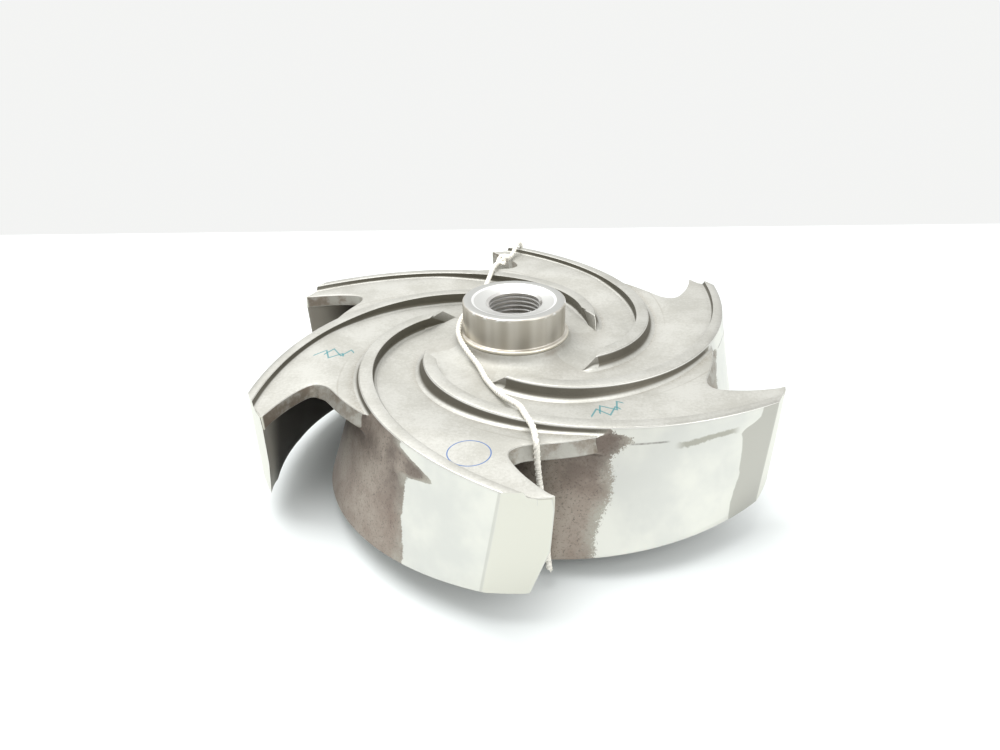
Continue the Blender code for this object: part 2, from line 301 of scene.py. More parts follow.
class Finish:
    """A procedural material on a Principled shader, built up from small node helpers."""

    def __init__(self, name, metallic, roughness):
        self.material = bpy.data.materials.new(name)
        self.material.use_nodes = True
        self.tree = self.material.node_tree
        self.shader = self.tree.nodes["Principled BSDF"]
        self.shader.inputs["Metallic"].default_value = metallic
        self.shader.inputs["Roughness"].default_value = roughness
        self.place = self.node("ShaderNodeTexCoord").outputs["Object"]

    def node(self, kind, **settings):
        made = self.tree.nodes.new(kind)
        for key, value in settings.items():
            setattr(made, key, value)
        return made

    def feed(self, socket, value):
        if isinstance(value, bpy.types.NodeSocket):
            self.tree.links.new(value, socket)
        else:
            socket.default_value = value

    def math(self, operation, first, second=0.0):
        made = self.node("ShaderNodeMath", operation=operation)
        self.feed(made.inputs[0], first)
        self.feed(made.inputs[1], second)
        return made.outputs[0]

    def add(self, first, second):
        return self.math("ADD", first, second)

    def minus(self, first, second):
        return self.math("SUBTRACT", first, second)

    def times(self, first, *others):
        for other in others:
            first = self.math("MULTIPLY", first, other)
        return first

    def ramp(self, value, low, high, start=0.0, end=1.0):
        """Eases from start to end while the value goes from low to high."""
        made = self.node("ShaderNodeMapRange", interpolation_type="SMOOTHSTEP")
        for socket, given in zip(made.inputs, (value, low, high, start, end)):
            self.feed(socket, given)
        return made.outputs[0]

    def fall(self, value, low, high):
        """Eases from 1 to 0 while the value goes from low to high."""
        return self.ramp(value, low, high, 1.0, 0.0)

    def near(self, value, target, reach, blur):
        """1 where a value lies within reach of a target, eased off over the blur."""
        away = self.math("ABSOLUTE", self.minus(value, target))
        return self.fall(away, reach, reach + blur)

    def blend(self, share, first, second):
        """Goes from the first value to the second one."""
        return self.add(self.times(self.minus(1.0, share), first), self.times(share, second))

    def noise(self, scale, detail=3.0, roughness=0.55, vector=None):
        made = self.node("ShaderNodeTexNoise")
        self.feed(made.inputs["Vector"], vector or self.place)
        made.inputs["Scale"].default_value = scale
        made.inputs["Detail"].default_value = detail
        made.inputs["Roughness"].default_value = roughness
        return made.outputs["Fac"]

    def swing(self, scale, **settings):
        """Noise about 0."""
        return self.minus(self.noise(scale, **settings), 0.5)

    def mapped(self, vector_type="POINT", **inputs):
        """The place, moved, turned or stretched."""
        made = self.node("ShaderNodeMapping", vector_type=vector_type)
        self.feed(made.inputs["Vector"], self.place)
        for key, value in inputs.items():
            made.inputs[key].default_value = value
        return made.outputs[0]

    def split(self, vector):
        made = self.node("ShaderNodeSeparateXYZ")
        self.feed(made.inputs[0], vector)
        return made.outputs

    def surface(self):
        """Both coordinates of the UV map, turn and radius or length and height."""
        return self.split(self.node("ShaderNodeUVMap", uv_map="surface").outputs[0])[:2]

    def normal(self):
        return self.node("ShaderNodeNewGeometry").outputs["Normal"]

    def vector_math(self, operation, *vectors):
        made = self.node("ShaderNodeVectorMath", operation=operation)
        for socket, vector in zip(made.inputs, vectors):
            self.feed(socket, vector)
        return made.outputs

    def colour(self, share, first, second):
        made = self.node("ShaderNodeMix", data_type="RGBA")
        self.feed(made.inputs[0], share)
        for socket, given in zip(made.inputs[6:8], (first, second)):
            self.feed(socket, (*given, 1.0) if isinstance(given, tuple) else given)
        return made.outputs[2]

    def over(self, base, colour, *shares):
        """Lays a colour over a base by the product of the shares."""
        return self.colour(self.times(*shares), base, colour)

    def paint(self, colour, rough=None):
        self.feed(self.shader.inputs["Base Color"], colour)
        if rough is not None:
            self.feed(self.shader.inputs["Roughness"], rough)

    def relief(self, height, depth):
        """Adds a bump of a real depth in metres."""
        made = self.node("ShaderNodeBump")
        made.inputs["Strength"].default_value = 1.0
        made.inputs["Distance"].default_value = depth
        self.feed(made.inputs["Height"], height)
        self.feed(self.shader.inputs["Normal"], made.outputs[0])


BLASTED_LIGHT = (0.535, 0.53, 0.495)
BLASTED_DARK = (0.44, 0.433, 0.395)
CAST_COLOUR_AND_PAINTED_SHADE = (0.13, 0.122, 0.098)
CAST_SHADE_SOFT = (0.34, 0.33, 0.28)
OXIDE_PALE = (0.40, 0.35, 0.30)
OXIDE_BROWN = (0.27, 0.215, 0.18)
OXIDE_DARK = (0.10, 0.085, 0.075)
GROUND_LIGHT = (0.70, 0.695, 0.64)
GROUND_CREAM = (0.64, 0.63, 0.56)
GROUND_GREY = (0.61, 0.61, 0.575)
FACET_GREY = (0.44, 0.43, 0.39)
RUBBED_GREY = (0.42, 0.405, 0.355)
GRIME = (0.30, 0.275, 0.225)
WALL_BROWN = (0.25, 0.215, 0.175)
WALL_GREY = (0.42, 0.41, 0.37)
BARE_EDGE_HIGHLIGHT = (0.90, 0.895, 0.86)
PASSAGE_PAINTED_SHADE = (0.065, 0.058, 0.048)
PASSAGE_MOUTH_PAINTED_SHADE = (0.50, 0.49, 0.44)
INK_BLUE = (0.06, 0.15, 0.38)
INK_TEAL = (0.05, 0.25, 0.28)
RIB_FOOT_SHADE_AND_DIRT = (0.34, 0.32, 0.28)
TURNED_DARK = (0.50, 0.465, 0.40)
TURNED_LIGHT = (0.68, 0.65, 0.59)
TURNED_TOP = (0.55, 0.55, 0.53)
TURNED_MOUTH = (0.72, 0.72, 0.70)
PAINTED_GLINT = (0.97, 0.97, 0.96)
UNDER_LIP_PAINTED_SHADE = (0.52, 0.49, 0.42)
LIP_EDGE_PAINTED_HIGHLIGHT = (0.80, 0.76, 0.66)
THREAD_DARK = (0.44, 0.43, 0.41)
THREAD_LIGHT = (0.74, 0.73, 0.71)
COTTON_DARK = (0.78, 0.75, 0.66)
COTTON_LIGHT = (0.93, 0.91, 0.85)
COTTON_SOIL = (0.62, 0.56, 0.44)
TABLE_PALE = (0.76, 0.79, 0.79, 1.0)
STUDIO_WHITE = (0.93, 0.935, 0.925, 1.0)

INK_RING_CENTRE = (-0.0241, -0.1439, 0.0)
INK_RING_RADIUS = 0.0118
INK_LINE = 0.00022
ZIGZAG_HEIGHT = 0.0058
ZIGZAG_STEEPNESS = 1.7
# Place and turn in degrees of each pen zigzag
INK_STROKES = (
    ((0.0445, -0.1050, 0.0), 9.0), ((0.0500, -0.1015, 0.0), 24.0),
    ((-0.1360, -0.0300, 0.0), -12.0), ((-0.1290, -0.0285, 0.0), 4.0),
)


def blasted_skin(finish):
    """Fine-grained blasted casting skin: its colour and its grain height."""
    mottle = finish.noise(34.0, detail=5.0, roughness=0.6)
    speck = finish.noise(520.0, detail=3.0, roughness=0.7)
    grain = finish.noise(1500.0, detail=2.0)
    shade = finish.add(finish.times(mottle, 0.6), finish.times(speck, 0.4))
    colour = finish.colour(finish.ramp(shade, 0.38, 0.62), BLASTED_DARK, BLASTED_LIGHT)
    return colour, finish.add(finish.times(grain, 0.5), speck)


def flatness(finish, low=0.25, high=0.65):
    """1 on faces that look up or down and 0 on upright ones."""
    return finish.ramp(finish.math("ABSOLUTE", finish.split(finish.normal())[2]), low, high)


def worn_edge_highlight_mask(finish, flat):
    """1 on the rounding between a level and an upright face, where worn edges take a painted
    highlight.
    """
    return finish.near(flat, 0.6, 0.25, 0.1)


def pen_zigzag(finish, place, turn):
    """Plain zigzag of a felt pen."""
    local = finish.mapped("TEXTURE", Location=place, Rotation=(0.0, 0.0, math.radians(turn)))
    x, y, _ = finish.split(local)
    wave = finish.times(finish.math("PINGPONG", x, ZIGZAG_HEIGHT), ZIGZAG_STEEPNESS)
    stroke = finish.near(finish.minus(y, wave), 0.0, 0.0008, 0.0006)
    return finish.times(stroke, finish.near(x, 0.0100, 0.0095, 0.0003))


def rib_foot_shade_and_marks(finish, skin, turn, radius):
    """Painted shade mixed with dirt along each rib's foot, grime specks and a thin line of painted
    shade, on the plate's skin.
    """
    # Metres square to the rib per radian of turn
    reach = finish.add(finish.ramp(radius, 0.05, 0.128, 0.026, 0.0505),
                       finish.ramp(radius, 0.128, 0.1825, 0.0, 0.0378))
    ahead = finish.minus(1.0, finish.math("FRACT", turn))
    to_rib = finish.times(ahead, PITCH, reach)
    # Painted shade, with some dirt, darkening the plate towards the foot of the rib ahead
    skin = finish.over(skin, RIB_FOOT_SHADE_AND_DIRT, finish.fall(to_rib, 0.0010, 0.0150),
                       finish.noise(90.0, detail=5.0), 0.55)
    specks = finish.ramp(finish.noise(850.0, detail=5.0, roughness=0.75), 0.44, 0.60)
    skin = finish.over(skin, GRIME, finish.fall(to_rib, 0.0045, 0.0095), specks,
                       finish.ramp(radius, 0.066, 0.074), 0.6)
    # Thin line of painted shade standing in for a shallow crease parallel to the rib
    line = finish.near(to_rib, 0.0142, 0.0002, 0.0006)
    return finish.over(skin, RIB_FOOT_SHADE_AND_DIRT, line, finish.noise(55.0),
                       finish.ramp(radius, 0.105, 0.130), finish.fall(radius, 0.145, 0.155), 0.8)


def pen_marks(finish, skin):
    """Plain blue ring and teal zigzags."""
    to_centre = finish.mapped(Location=tuple(-c for c in INK_RING_CENTRE), Scale=(1.0, 1.0, 0.0))
    distance = finish.vector_math("LENGTH", to_centre)["Value"]
    ring = finish.near(distance, INK_RING_RADIUS, INK_LINE, 0.00025)
    skin = finish.over(skin, INK_BLUE, ring, 0.85)
    for place, angle in INK_STROKES:
        skin = finish.over(skin, INK_TEAL, pen_zigzag(finish, place, angle), 0.75)
    return skin


def plate_finish():
    """Blasted top with dirt and pen marks, painted shade along the ribs' feet, stained scallop walls,
    a ground rim and worn edges with a painted highlight.
    """
    finish = Finish("blasted_plate", 0.75, 0.60)
    skin, height = blasted_skin(finish)
    turn, radius = finish.surface()
    skin = pen_marks(finish, rib_foot_shade_and_marks(finish, skin, turn, radius))
    soil = finish.ramp(finish.noise(60.0, detail=5.0, roughness=0.7), 0.42, 0.62)
    wall = finish.colour(soil, WALL_GREY, WALL_BROWN)
    rim = finish.ramp(radius, OUTER_RADIUS - 0.002, OUTER_RADIUS - 0.001)
    wall = finish.over(wall, GROUND_CREAM, rim)
    flat = flatness(finish)
    skin = finish.colour(flat, wall, skin)
    level = finish.split(finish.place)[2]
    # Worn upper edges with a painted highlight, kept away from the hub
    finish.paint(finish.over(skin, BARE_EDGE_HIGHLIGHT, worn_edge_highlight_mask(finish, flat),
                             finish.ramp(radius, 0.070, 0.080, 0.0, 0.6),
                             finish.ramp(level, RIM_TOP_Z - 0.0020, RIM_TOP_Z - 0.0012)))
    finish.relief(height, 0.00011)
    return finish.material


# Ground patch of each blade: its end at mid height and at the foot, the notch below the
# plate with its two levels, the rise above it, and the raggedness of its border
PATCHES = (
    (0.0595, 0.0541, 0.0195, 0.0722, 0.0778, 0.0287, 0.0025),
    (0.1047, 0.1115, 0.0117, 0.0709, 0.0840, 0.0110, 0.0075),
    (0.1080, 0.1040, 0.0090, 0.0715, 0.0800, 0.0140, 0.0060),
    (0.0640, 0.0600, 0.0150, 0.0720, 0.0790, 0.0200, 0.0030),
    (0.0910, 0.0960, 0.0100, 0.0700, 0.0820, 0.0120, 0.0070),
    (0.0600, 0.0570, 0.0170, 0.0725, 0.0785, 0.0240, 0.0030),
)
BLADES_WITH_FACET = (2, 3, 5)


def flank_skin(finish, length, level, outside, stain):
    """Brown oxide outside, painted shade in the passage inside that lightens towards the tip, and a
    dark cast colour with painted shade on the rib's sides that face a plate arm.
    """
    flank = finish.colour(finish.ramp(stain, 0.32, 0.68), OXIDE_BROWN, OXIDE_PALE)
    pits = finish.ramp(finish.noise(700.0, detail=4.0, roughness=0.8), 0.52, 0.68)
    flank = finish.over(flank, OXIDE_DARK, pits, 0.75)
    flank = finish.over(flank, OXIDE_DARK, finish.ramp(level, 0.040, 0.078, 0.0, 0.55),
                        finish.ramp(stain, 0.40, 0.60, 1.0, 0.2))
    # Painted shade on the inner faces of the passage, lighter towards the tip
    passage_shade = finish.colour(finish.ramp(length, 0.008, 0.046), PASSAGE_MOUTH_PAINTED_SHADE, PASSAGE_PAINTED_SHADE)
    flank = finish.colour(outside, passage_shade, flank)
    # Rib sides that face a plate arm: dark cast colour with painted shade
    past_toe = finish.ramp(finish.add(length, finish.minus(1.0, outside)),
                           TOE_LENGTH, TOE_LENGTH + 0.002)
    rib_side_shade = finish.ramp(level, 0.0800, 0.0830)
    return finish.over(flank, CAST_COLOUR_AND_PAINTED_SHADE, rib_side_shade, past_toe, 0.9)


def past_patch(finish, number, length, level):
    """Distance beyond the ragged border of the blade's ground patch."""
    mid, foot, dip, dip_low, dip_high, rise, ragged = PATCHES[number - 1]
    border = finish.ramp(level, 0.029, 0.056, foot, mid)
    border = finish.minus(border, finish.ramp(level, dip_low, dip_high, 0.0, dip))
    border = finish.add(border, finish.ramp(level, dip_high + 0.0003, 0.0880, 0.0, rise))
    fine = finish.times(finish.swing(500.0, detail=4.0, roughness=0.8), ragged * 2)
    broad = finish.times(finish.swing(70.0), 0.008)
    beyond = finish.minus(finish.add(finish.add(length, fine), broad), border)
    return finish.add(beyond, finish.times(finish.swing(1300.0, detail=2.0), 0.8 * ragged))


def facet_marks(finish, ground, length, level):
    """Duller facet at the tip, a smear under the plate and a scratch along the rib's foot."""
    end = finish.minus(0.0262, finish.ramp(level, 0.0767, 0.0850, 0.0, 0.0146))
    end = finish.minus(end, finish.times(finish.near(level, 0.058, 0.006, 0.022), 0.0036))
    end = finish.add(end, finish.times(finish.swing(90.0, detail=2.0), 0.004))
    ground = finish.over(ground, FACET_GREY, finish.fall(finish.minus(length, end), -0.0004, 0.0004))
    sagging = finish.add(level, finish.ramp(length, 0.038, 0.062, 0.0, 0.0022))
    frayed = finish.add(sagging, finish.times(finish.swing(300.0), 0.003))
    ground = finish.over(ground, CAST_SHADE_SOFT, finish.near(frayed, 0.0800, 0.0011, 0.0011),
                         finish.near(length, 0.047, 0.014, 0.008), 0.85)
    return finish.over(ground, OXIDE_DARK, finish.near(level, 0.0807, 0.0002, 0.0006),
                       finish.near(length, 0.083, 0.009, 0.004), finish.noise(400.0))


def blade_finish(number):
    """Oxide-brown flanks with a ground patch towards the tip; level faces are blasted."""
    finish = Finish(f"blade_{number}_steel", 0.85, 0.45)
    skin, height = blasted_skin(finish)
    length, level = finish.surface()
    facing = finish.vector_math("DOT_PRODUCT", finish.normal(),
                                finish.mapped(Scale=(8.0, 8.0, 0.0)))["Value"]
    outside = finish.ramp(facing, 0.0, 0.15)

    stain = finish.noise(26.0, detail=6.0, roughness=0.65)
    flank = flank_skin(finish, length, level, outside, stain)
    beyond = past_patch(finish, number, length, level)
    patch = finish.times(finish.fall(beyond, -0.0005, 0.0005), outside)
    flank = finish.over(flank, RUBBED_GREY, finish.fall(beyond, 0.0, 0.011),
                        finish.ramp(stain, 0.36, 0.60, 0.25, 1.0), outside)
    tone = finish.noise(20.0, detail=4.0)
    ground = finish.colour(finish.ramp(tone, 0.38, 0.62), GROUND_GREY, GROUND_LIGHT)
    if number in BLADES_WITH_FACET:
        ground = facet_marks(finish, ground, length, level)
    ground = finish.over(ground, GROUND_CREAM, finish.fall(length, -0.0008, -0.0002))
    # Thin line of painted shade along the crease between the land and the flank
    ground = finish.over(ground, FACET_GREY, finish.near(length, 0.0004, 0.0004, 0.0008), 0.5)
    flank = finish.colour(patch, flank, ground)

    high = finish.math("MAXIMUM", finish.ramp(level, RIB_TOP_Z - 0.0016, RIB_TOP_Z - 0.0012),
                       finish.ramp(length, RAMP_LENGTH - 0.001, RAMP_LENGTH))
    flat = flatness(finish)
    level_face = finish.blend(high, flatness(finish, 0.60, 0.92), flat)
    painted = finish.colour(level_face, flank, skin)
    # Painted highlight with wear on the rounded top edges of the rib
    top_edge = finish.ramp(level, RIB_TOP_Z - 0.0012, RIB_TOP_Z - 0.0009)
    painted = finish.over(painted, BARE_EDGE_HIGHLIGHT, worn_edge_highlight_mask(finish, flat), top_edge, 0.8)
    finish.paint(painted, finish.add(0.52, finish.times(patch, -0.17)))
    finish.relief(finish.times(height, finish.minus(1.0, finish.times(patch, 0.8))), 0.00009)
    return finish.material


def turned_finish():
    """Turned steel: fine rings, soft upright bands, painted highlights on the mouth edge and on dents
    round the top, and painted light and shade at the lip.
    """
    finish = Finish("turned_hub", 0.95, 0.38)
    flat_place = finish.mapped(Scale=(1.0, 1.0, 0.0))
    radius = finish.vector_math("LENGTH", flat_place)["Value"]
    level = finish.split(finish.place)[2]
    around = finish.vector_math("NORMALIZE", flat_place)["Vector"]
    bands = finish.noise(3.2, detail=1.5, vector=around)
    tone = finish.colour(finish.ramp(bands, 0.3, 0.7), TURNED_DARK, TURNED_LIGHT)
    top = finish.ramp(level, HUB_TOP_Z - 0.0026, HUB_TOP_Z - 0.0003)
    tone = finish.over(tone, TURNED_TOP, top, finish.fall(radius, 0.0345, 0.0352))
    tone = finish.over(tone, TURNED_MOUTH, finish.fall(radius, 0.0279, 0.0283),
                       finish.ramp(level, 0.1100, 0.1120))
    # Painted highlights: a ring on the mouth's edge and glints on dents round the top's edge
    mouth = finish.near(radius, 0.0286, 0.0006, 0.0005)
    dent_glints = finish.times(finish.ramp(radius, 0.0348, 0.0352),
                         finish.ramp(finish.noise(150.0, detail=1.0), 0.54, 0.64))
    tone = finish.over(tone, PAINTED_GLINT, finish.add(mouth, dent_glints), top)
    # Below the lip: painted shade in the undercut and a painted highlight on the lip's rounded edge
    lip = finish.colour(finish.ramp(radius, 0.0372, 0.0380), UNDER_LIP_PAINTED_SHADE, LIP_EDGE_PAINTED_HIGHLIGHT)
    finish.paint(finish.over(tone, lip, finish.fall(level, 0.0925, 0.0932)))
    rings = finish.noise(1.0, detail=2.0, vector=finish.mapped(Scale=(30.0, 30.0, 4200.0)))
    finish.relief(rings, 0.00002)
    return finish.material


def thread_finish():
    finish = Finish("thread_steel", 0.75, 0.36)
    finish.paint(finish.colour(finish.noise(120.0), THREAD_DARK, THREAD_LIGHT))
    return finish.material


def cotton_finish():
    finish = Finish("cotton_twine", 0.0, 0.9)
    fuzz = finish.noise(1100.0, detail=3.0)
    soil = finish.noise(60.0, detail=3.0)
    clean = finish.colour(fuzz, COTTON_DARK, COTTON_LIGHT)
    finish.paint(finish.colour(finish.ramp(soil, 0.5, 0.8, 0.0, 0.35), clean, COTTON_SOIL))
    finish.relief(fuzz, 0.0002)
    return finish.material


PLATE_INSET = 0.0028
PLATE_RADIUS = OUTER_RADIUS - 0.00025
ARM_EDGE_ANGLE = math.radians(275.35)
# Scallop edge as shares of the outer radius and plan angles in degrees
SCALLOP_CURVE = (
    (1.0000, 275.35), (0.9996, 275.95), (0.9972, 276.27), (0.9925, 276.17), (0.9850, 275.75),
    (0.9700, 275.05), (0.9520, 274.25), (0.9190, 272.80), (0.8800, 271.20), (0.8400, 269.80),
    (0.8120, 269.00), (0.7930, 268.80), (0.7780, 269.10), (0.7660, 269.80), (0.7560, 270.90),
    (0.7490, 272.60), (0.7460, 275.00),
)
SCALLOP_STEPS = 5
# The curve's points between these two numbers bound the arm, from its corner inwards
CORNER_POINT = 2
THROAT_POINT = 12
# Gap between a blade's sections and the scallop's edge, which opens from the tip on
ARM_GAP = 0.0003
ARM_GAP_TIP = 0.00005
ARM_GAP_GROWTH = 0.006
FILLET_STEPS = 5
EDGE_STEPS = 3


def arm_room(line, height):
    """Depth from the convex face to the scallop's edge across an arm of the plate."""
    radius, angle, rate = line_values(line, height)
    share = min(radius / PLATE_RADIUS, SCALLOP_CURVE[CORNER_POINT][0])
    edge_points = SCALLOP_CURVE[CORNER_POINT:THROAT_POINT]
    for (outer, outer_angle), (inner, inner_angle) in zip(edge_points, edge_points[1:]):
        if share >= inner:
            edge = mix(inner_angle, outer_angle, (share - inner) / (outer - inner))
            return (math.radians(edge) - angle) / rate
    return 1.0


def rib_section(wrap):
    """Line, inner chain and outer chain of (depth, height) of the rib, from its top down."""
    line = blade_line(wrap)
    plate_z = height_on_line(line, plate_top_z)
    ramp = min(1.0, max(0.0, (RIB_WRAP - wrap) / RIB_RAMP_WRAP))
    rib_height = (RIB_TOP_Z - plate_z) * ramp
    top_z = plate_z + rib_height - SKIRT_DEPTH * (1.0 - ramp)
    width = mix(RIB_WIDTH_TIP, RIB_WIDTH_ROOT, min(1.0, wrap / RIB_WIDENING_WRAP))
    width = mix(RIB_WIDTH_END, width, ramp)
    fillet = min(RIB_FILLET * smooth(1.2 * ramp), 0.5 * rib_height)
    root = width + RIB_DRAFT * rib_height
    edge = min(EDGE_BREAK, 0.4 * rib_height + 0.00005)
    join_z = 0.5 * (plate_z + height_on_line(line, plate_under_z))

    def side(face, sign, root, spread):
        chain = []
        for c, s in arc(EDGE_STEPS, 90, 0):
            chain.append((face + sign * (-edge + edge * c), top_z - edge + edge * s))
        for c, s in arc(FILLET_STEPS, 180, 270):
            chain.append((root + sign * spread * fillet * (1 + c), plate_z + fillet * (1 + s)))
        skirt = root + sign * spread * (fillet + SKIRT)
        return chain + [(skirt, plate_z - SKIRT_DEPTH), (skirt, join_z)]

    outer_spread = 1.0 if wrap > TOE_WRAP else 0.0
    return line, side(width, 1.0, root, 1.0), side(0.0, -1.0, 0.0, outer_spread)


def vane_section(wrap):
    """Line, inner chain and outer chain of (depth, height) of the vane, from the plate down."""
    line = blade_line(wrap)
    under_z = height_on_line(line, plate_under_z)
    foot_z = line[1][2]
    tip = max(0.0, 1.0 - wrap / LAND_FADE_WRAP)
    join_z = mix(under_z, height_on_line(line, plate_top_z), 0.5 + 0.4 * tip)
    nose = smooth((wrap / VANE_WRAP - VANE_NOSE_START) / VANE_NOSE_SHARE)
    full = mix(VANE_THICKNESS, VANE_NOSE_THICKNESS, nose)
    thinning = VANE_FOOT_THINNING * max(0.0, 1.0 - wrap / VANE_FOOT_THINNING_WRAP)
    rise = mix(INNER_BREAK_HEIGHT, CORNER_BREAK_HEIGHT, tip)
    rise_share = rise / (under_z - foot_z)
    thick = mix(full, LAND_WIDTH_TOP, tip * tip)
    break_thick = mix(full - thinning * (1.0 - rise_share), LAND_WIDTH_BREAK, tip)
    foot_thick = mix(full - thinning, LAND_WIDTH_FOOT, tip)
    gap = min(ARM_GAP, ARM_GAP_TIP + ARM_GAP_GROWTH * wrap)
    room = arm_room(line, under_z) - gap
    thick = min(thick, room - gap)
    skirt = min(SKIRT, 0.5 * (room - thick))
    fillet = min(VANE_FILLET, room - skirt - thick)

    def side(face, sign, spread, break_face, foot_face):
        reach = face + sign * spread * (fillet + skirt)
        chain = [(reach, join_z), (reach, under_z + SKIRT_DEPTH)]
        for c, s in arc(FILLET_STEPS, 90, 180):
            chain.append((face + sign * spread * fillet * (1 + c), under_z - fillet * (1 - s)))
        chain.append((break_face, foot_z + rise))
        for c, s in arc(2, 0, -90):
            chain.append((foot_face - sign * EDGE_BREAK * (1 - c), foot_z + EDGE_BREAK * (1 + s)))
        return chain

    outer_spread = 1.0 if wrap > TOE_WRAP else 0.0
    inner = side(thick, 1.0, 1.0, break_thick, foot_thick)
    return line, inner, side(0.0, -1.0, outer_spread, 0.0, 0.0)


def section_loop(section, closing):
    """Closed loop of points round a section; closing draws it in to its middle surface."""
    _, inner, outer = section
    middle = [tuple(0.5 * (a + b) for a, b in zip(i, o)) for i, o in zip(inner, outer)]
    inner = [(mix(a[0], m[0], closing), a[1]) for a, m in zip(inner, middle)]
    outer = [(mix(a[0], m[0], closing), a[1]) for a, m in zip(outer, middle)]
    return [middle[0]] + inner + [middle[-1]] + list(reversed(outer)) + [middle[0]]


BLADE_STEPS = 96
# Degrees from the tip and from the scallop's toe
TIP_STATIONS = (0.35, 0.8, 1.8, 2.6, 3.3)
TOE_STATIONS = (-0.6, -0.08, 0.08, 0.6)
LEAST_STEP = math.radians(0.12)


def blade_stations(end, extra):
    """Wraps of a blade's sections, closer at the tip, the scallop's toe and the given places."""
    coarse = [end * i / BLADE_STEPS for i in range(BLADE_STEPS + 1)]
    near_tip = [math.radians(a) for a in TIP_STATIONS]
    near_toe = [TOE_WRAP + math.radians(a) for a in TOE_STATIONS]
    stations = sorted(coarse + near_tip + near_toe + extra)
    kept = [stations[0]]
    for wrap in stations[1:]:
        if wrap - kept[-1] > LEAST_STEP:
            kept.append(wrap)
    return kept


def blade_lengths(stations):
    """Distance from the tip along the blade at each station."""
    middles = []
    for wrap in stations:
        top, foot = blade_line(wrap)
        middles.append(polar(0.5 * (top[0] + foot[0]), 0.5 * (top[1] + foot[1]), 0.0))
    lengths = [0.0]
    for start, end in zip(middles, middles[1:]):
        lengths.append(lengths[-1] + (end - start).length)
    return lengths


TOE_LENGTH = blade_lengths([TOE_WRAP * i / 20 for i in range(21)])[-1]
RAMP_LENGTH = blade_lengths([(RIB_WRAP - RIB_RAMP_WRAP) * i / 60 for i in range(61)])[-1]
RAMP_STEPS = 8
CAP_STEPS = 5


def swept_piece(name, index, section_at, stations, nose_reach):
    """Body through a blade's sections, with a flat land at the tip and a closed inner end."""
    lengths = blade_lengths(stations)
    turn = Matrix.Rotation(index * PITCH, 3, "Z")
    rows, surface = [], []

    def add_row(wrap, closing, length):
        section = section_at(wrap)
        loop = section_loop(section, closing)
        rows.append([turn @ blade_point(section[0], depth, height) for depth, height in loop])
        surface.append([(length, height) for depth, height in loop])

    for step in range(CAP_STEPS):
        add_row(0.0, 1.0 - step / CAP_STEPS, LAND_LENGTH * (step / CAP_STEPS - 1.0))
    for wrap, length in zip(stations, lengths):
        add_row(wrap, 0.0, length)
    for step in range(1, CAP_STEPS + 1):
        angle = math.radians(90 * step / CAP_STEPS)
        add_row(stations[-1] + nose_reach * math.sin(angle), 1.0 - math.cos(angle), lengths[-1])
    return shaped_grid(name, rows, surface)


def make_blade(index):
    number = index + 1
    steel = blade_finish(number)
    ramp = [RIB_WRAP - RIB_RAMP_WRAP * i / RAMP_STEPS for i in range(RAMP_STEPS + 1)]
    rib = swept_piece(f"rib_{number}", index, rib_section, blade_stations(RIB_WRAP, ramp), 0.0)
    seat(rib, steel, "cast_stainless", f"pump_out_rib_{number}")
    nose_reach = VANE_NOSE_REACH / foot_radius(VANE_WRAP)
    vane = swept_piece(f"swept_vane_{number}", index, vane_section,
                       blade_stations(VANE_WRAP, []), nose_reach)
    seat(vane, steel, "vane_face_stainless", f"vane_{number}")


BOSS_EDGE_RADIUS = 0.0560
# Fillet from the plate up to the hub's lip: radius and rise above the dish
BOSS_FILLET = (
    (0.0560, 0.0000), (0.0530, 0.0001), (0.0500, 0.0004), (0.0470, 0.0009), (0.0445, 0.0016),
    (0.0425, 0.0025), (0.0410, 0.0037), (0.0400, 0.0050), (0.0393, 0.0063), (0.0388, 0.0074),
    (0.0383, 0.0083), (0.0372, 0.0086),
)
HUB_CLEAR_RADIUS = 0.0345
BOSS_SWIRL = math.radians(26.0)
# How the turn goes from the plate's edge to the boss: the eased and the even part
SWIRL_EASED = 0.35
SWIRL_EVEN = 0.65
# Flare of the scallop's wall, in shares of the radius and degrees of its two ends
WALL_FLARE = 0.0034
FLARE_START = 0.81
FLARE_GROWTH = 0.05
TOE_FLARE_END = 290.2
TOE_FLARE_FADE = 0.9
# The inset shrinks this close to an arm's sharp corner
CORNER_REACH = 0.006
CORNER_INSET = 0.12
OUTLINE_RIM_STEPS = 9
OUTLINE_THROAT_STEPS = 25
OUTLINE_BLADE_STEPS = 40
PLATE_RINGS = 27
UNDER_RINGS = 18


def wall_flare(radius, degrees):
    """How far the wall's lower edge stands out beyond its upper edge, up to the scallop's toe."""
    rising = smooth((FLARE_START - radius / PLATE_RADIUS) / FLARE_GROWTH)
    return WALL_FLARE * rising * smooth((TOE_FLARE_END - degrees) / TOE_FLARE_FADE)


def sector_outline():
    """Plan outline of one plate arm and the scallop before the next, as (radius, angle)."""
    outline = []
    tip_line = blade_line(0.0)
    start = line_values(tip_line, RIM_TOP_Z)[1] + PLATE_INSET * tip_line[0][3]
    for i in range(OUTLINE_RIM_STEPS):
        outline.append((PLATE_RADIUS, mix(start, ARM_EDGE_ANGLE, i / OUTLINE_RIM_STEPS)))
    for share, degrees in eased_curve(SCALLOP_CURVE, SCALLOP_STEPS):
        outline.append((share * PLATE_RADIUS, math.radians(degrees)))
    throat_radius, throat_angle = outline[-1]
    toe_radius, toe_angle, rate = line_values(blade_line(TOE_WRAP), RIM_TOP_Z)
    toe_angle += PITCH + PLATE_INSET * rate
    for i in range(1, OUTLINE_THROAT_STEPS + 1):
        share = i / OUTLINE_THROAT_STEPS
        outline.append((mix(throat_radius, toe_radius, share), mix(throat_angle, toe_angle, share)))
    for i in range(1, OUTLINE_BLADE_STEPS):
        line = blade_line(TOE_WRAP * (1.0 - i / OUTLINE_BLADE_STEPS))
        radius, angle, rate = line_values(line, RIM_TOP_Z)
        outline.append((min(radius, PLATE_RADIUS), angle + PITCH + PLATE_INSET * rate))
    return outline


